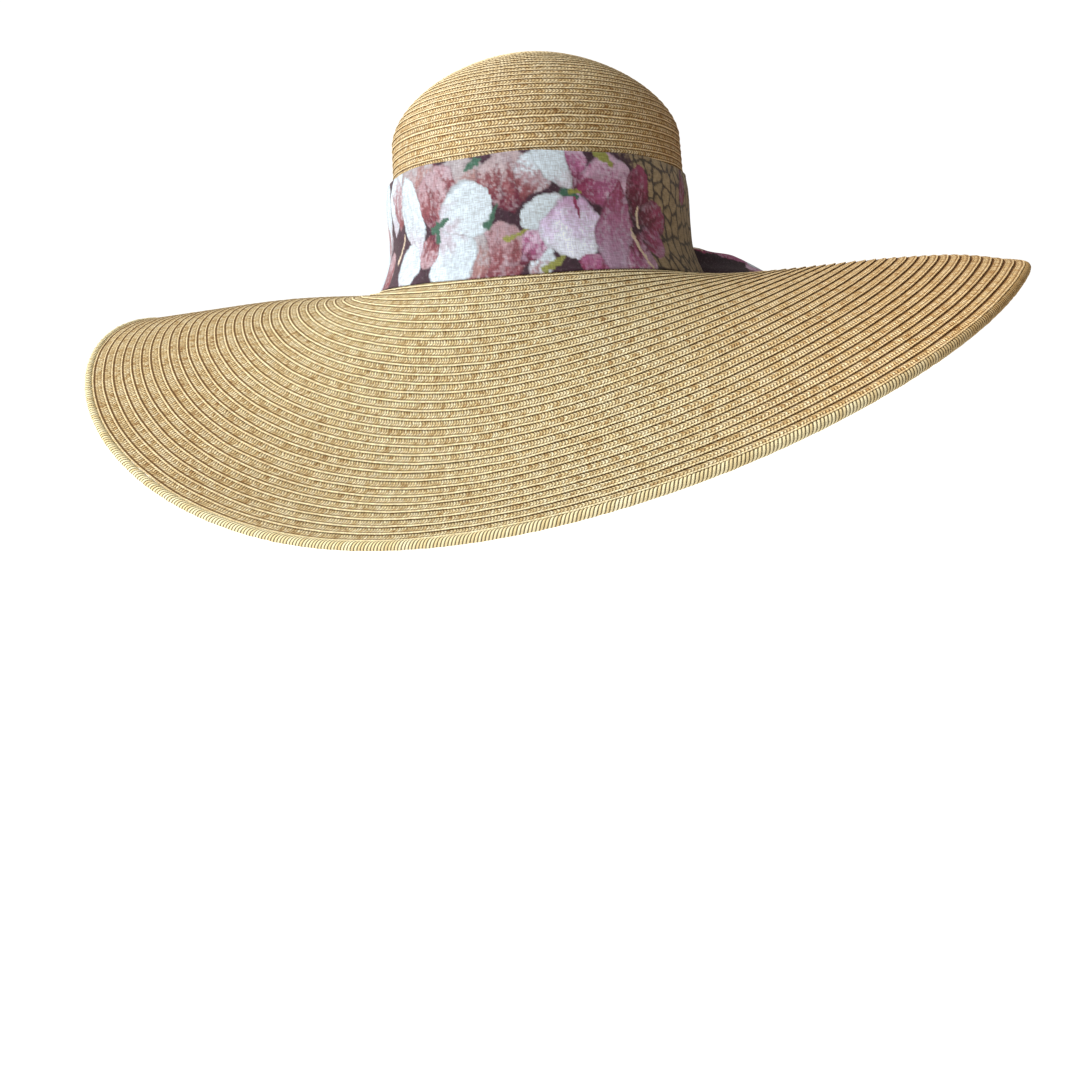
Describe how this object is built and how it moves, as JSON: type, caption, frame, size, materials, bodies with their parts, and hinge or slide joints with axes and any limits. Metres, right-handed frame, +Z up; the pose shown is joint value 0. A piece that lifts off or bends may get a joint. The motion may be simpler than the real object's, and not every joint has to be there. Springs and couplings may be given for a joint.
{
  "type": "straw sun hat",
  "caption": "Wide-brimmed sewn-straw sun hat with a wired edge, an inner sweatband and a printed scarf knotted round the crown, its ends on the back brim.",
  "frame": {"origin": "centre of the head opening, where the crown meets the brim", "axes": "+Z up through the crown; the hat's front faces -Y; the wearer's left is +X"},
  "size_m": [0.53, 0.483, 0.2556],
  "materials": {
    "straw_braid": "sewn paper-straw braid, matte with a slight sheen",
    "edge_braid": "folded and whip-stitched straw braid, matte",
    "spring_wire": "drawn spring steel",
    "sweatband_ribbon": "ribbed grosgrain ribbon",
    "label_tape": "blank woven tape",
    "scarf_print": "printed plain-weave cloth, matte"
  },
  "bodies": {
    "hat": {"crown_button": "straw_braid", "crown_top": "straw_braid", "crown_side": "straw_braid", "brim_inner": "straw_braid", "brim_middle": "straw_braid", "brim_outer": "straw_braid", "brim_edge_binding": "edge_braid", "brim_wire": "spring_wire", "wire_joiner": "spring_wire", "sweatband": "sweatband_ribbon", "sweatband_join": "sweatband_ribbon", "size_tab": "label_tape"},
    "scarf": {"scarf_band": "scarf_print", "scarf_knot": "scarf_print"},
    "side_tail": {"scarf_tail_side": "scarf_print"},
    "back_tail": {"scarf_tail_back": "scarf_print"}
  },
  "joints": [
    {"name": "scarf_lift", "type": "slide", "parent": "hat", "child": "scarf", "axis": [0, 0, 1], "range_m": [0, 0.135]},
    {"name": "side_tail_swing", "type": "hinge", "parent": "scarf", "child": "side_tail", "pos_m": [0.0453, 0.1077, 0.0248], "axis": [0.4711, -0.8821, 0], "range_deg": [0, 60]},
    {"name": "back_tail_swing", "type": "hinge", "parent": "scarf", "child": "back_tail", "pos_m": [0.0255, 0.1181, 0.0262], "axis": [0.8366, 0.5478, 0], "range_deg": [0, 60]}
  ]
}
